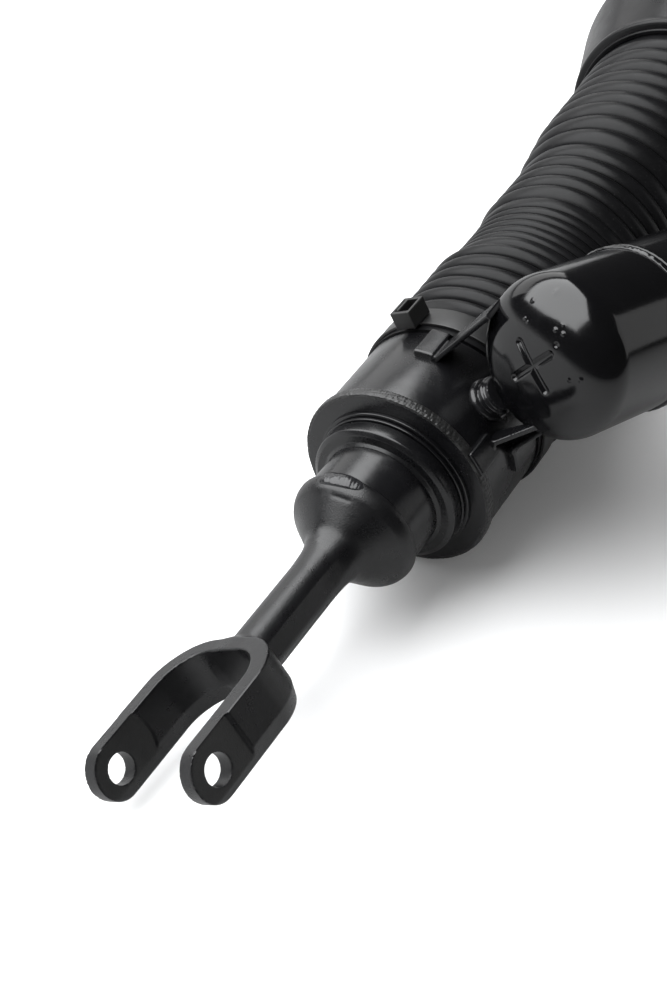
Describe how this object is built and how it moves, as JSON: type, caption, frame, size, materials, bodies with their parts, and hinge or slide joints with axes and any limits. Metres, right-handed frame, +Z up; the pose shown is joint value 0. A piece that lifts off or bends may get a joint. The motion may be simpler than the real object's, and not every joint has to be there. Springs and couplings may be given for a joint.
{
  "type": "air suspension strut",
  "caption": "Air suspension strut with a forked lower end, a pleated dust boot over the air spring, and a small air reservoir at its side.",
  "frame": {"origin": "centre of the cross bolt hole in the lower fork", "axes": "+Z up the strut axis from the fork to the top mount, +X along the fork's cross bolt"},
  "size_m": [0.1994, 0.152, 0.6775],
  "materials": {
    "forging": "satin black over forged steel",
    "weld": "black over weld bead",
    "painted_steel": "satin black with fine orange peel",
    "rim_weld": "black over a rolled seam weld",
    "gloss_reservoir": "gloss black with small bubbles",
    "boot_rubber": "matt black rubber",
    "inner_rubber": "matt black rubber",
    "tie_nylon": "matt black nylon",
    "housing_paint": "semi-gloss black",
    "cast_aluminium": "as cast and machined",
    "plated_steel": "zinc plated",
    "chromed_rod": "hard chromed and polished",
    "ptfe": "filled plastic",
    "bump_foam": "cellular polyurethane",
    "brass": "machined brass",
    "black_plastic": "moulded plastic"
  },
  "bodies": {
    "upper": {"housing": "housing_paint", "housing_rim_seal": "boot_rubber", "boot": "boot_rubber", "boot_top_ring": "plated_steel", "top_cap": "cast_aluminium", "cap_seal": "inner_rubber", "mount_rubber": "inner_rubber", "mount_core": "plated_steel", "rod_washer": "plated_steel", "rod_nut": "plated_steel", "top_studs": "plated_steel", "air_fitting": "brass", "air_fitting_collet": "black_plastic", "piston_rod": "chromed_rod", "damper_piston": "cast_aluminium", "piston_band": "ptfe", "piston_nut": "plated_steel", "rebound_stop": "inner_rubber", "bump_stop": "bump_foam", "bump_cup": "plated_steel", "air_sleeve": "inner_rubber", "sleeve_upper_clamp": "plated_steel"},
    "lower": {"fork": "forging", "cup_weld": "weld", "damper_tube": "painted_steel", "tube_base_plug": "plated_steel", "support_collar": "painted_steel", "collar_rings": "painted_steel", "can_end_plate": "painted_steel", "can_rim_band": "rim_weld", "can_shell": "painted_steel", "piston_base": "plated_steel", "upper_bracket": "painted_steel", "rear_bracket": "painted_steel", "lower_bracket": "painted_steel", "transfer_neck": "painted_steel", "neck_weld_rings": "weld", "reservoir_dome": "gloss_reservoir", "reservoir_band": "gloss_reservoir", "reservoir_shell": "gloss_reservoir", "reservoir_top_dome": "gloss_reservoir", "boot_tie": "tie_nylon", "boot_tie_head": "tie_nylon", "rolling_piston": "cast_aluminium", "piston_crown": "cast_aluminium", "sleeve_lower_clamp": "plated_steel", "rod_guide": "cast_aluminium", "rod_seal": "inner_rubber", "guide_snap_ring": "plated_steel"},
    "gas_float": {"gas_piston": "cast_aluminium", "gas_piston_seal": "inner_rubber"}
  },
  "joints": [
    {"name": "strut_travel", "type": "slide", "parent": "upper", "child": "lower", "axis": [0, 0, 1], "range_m": [0, 0.11], "deforming": ["boot", "air_sleeve"]},
    {"name": "gas_float_travel", "type": "slide", "parent": "lower", "child": "gas_float", "axis": [0, 0, -1], "range_m": [0, 0.0184]}
  ],
  "couplings": [
    {"joint": "gas_float_travel", "follows": "strut_travel", "ratio": 0.1666}
  ]
}
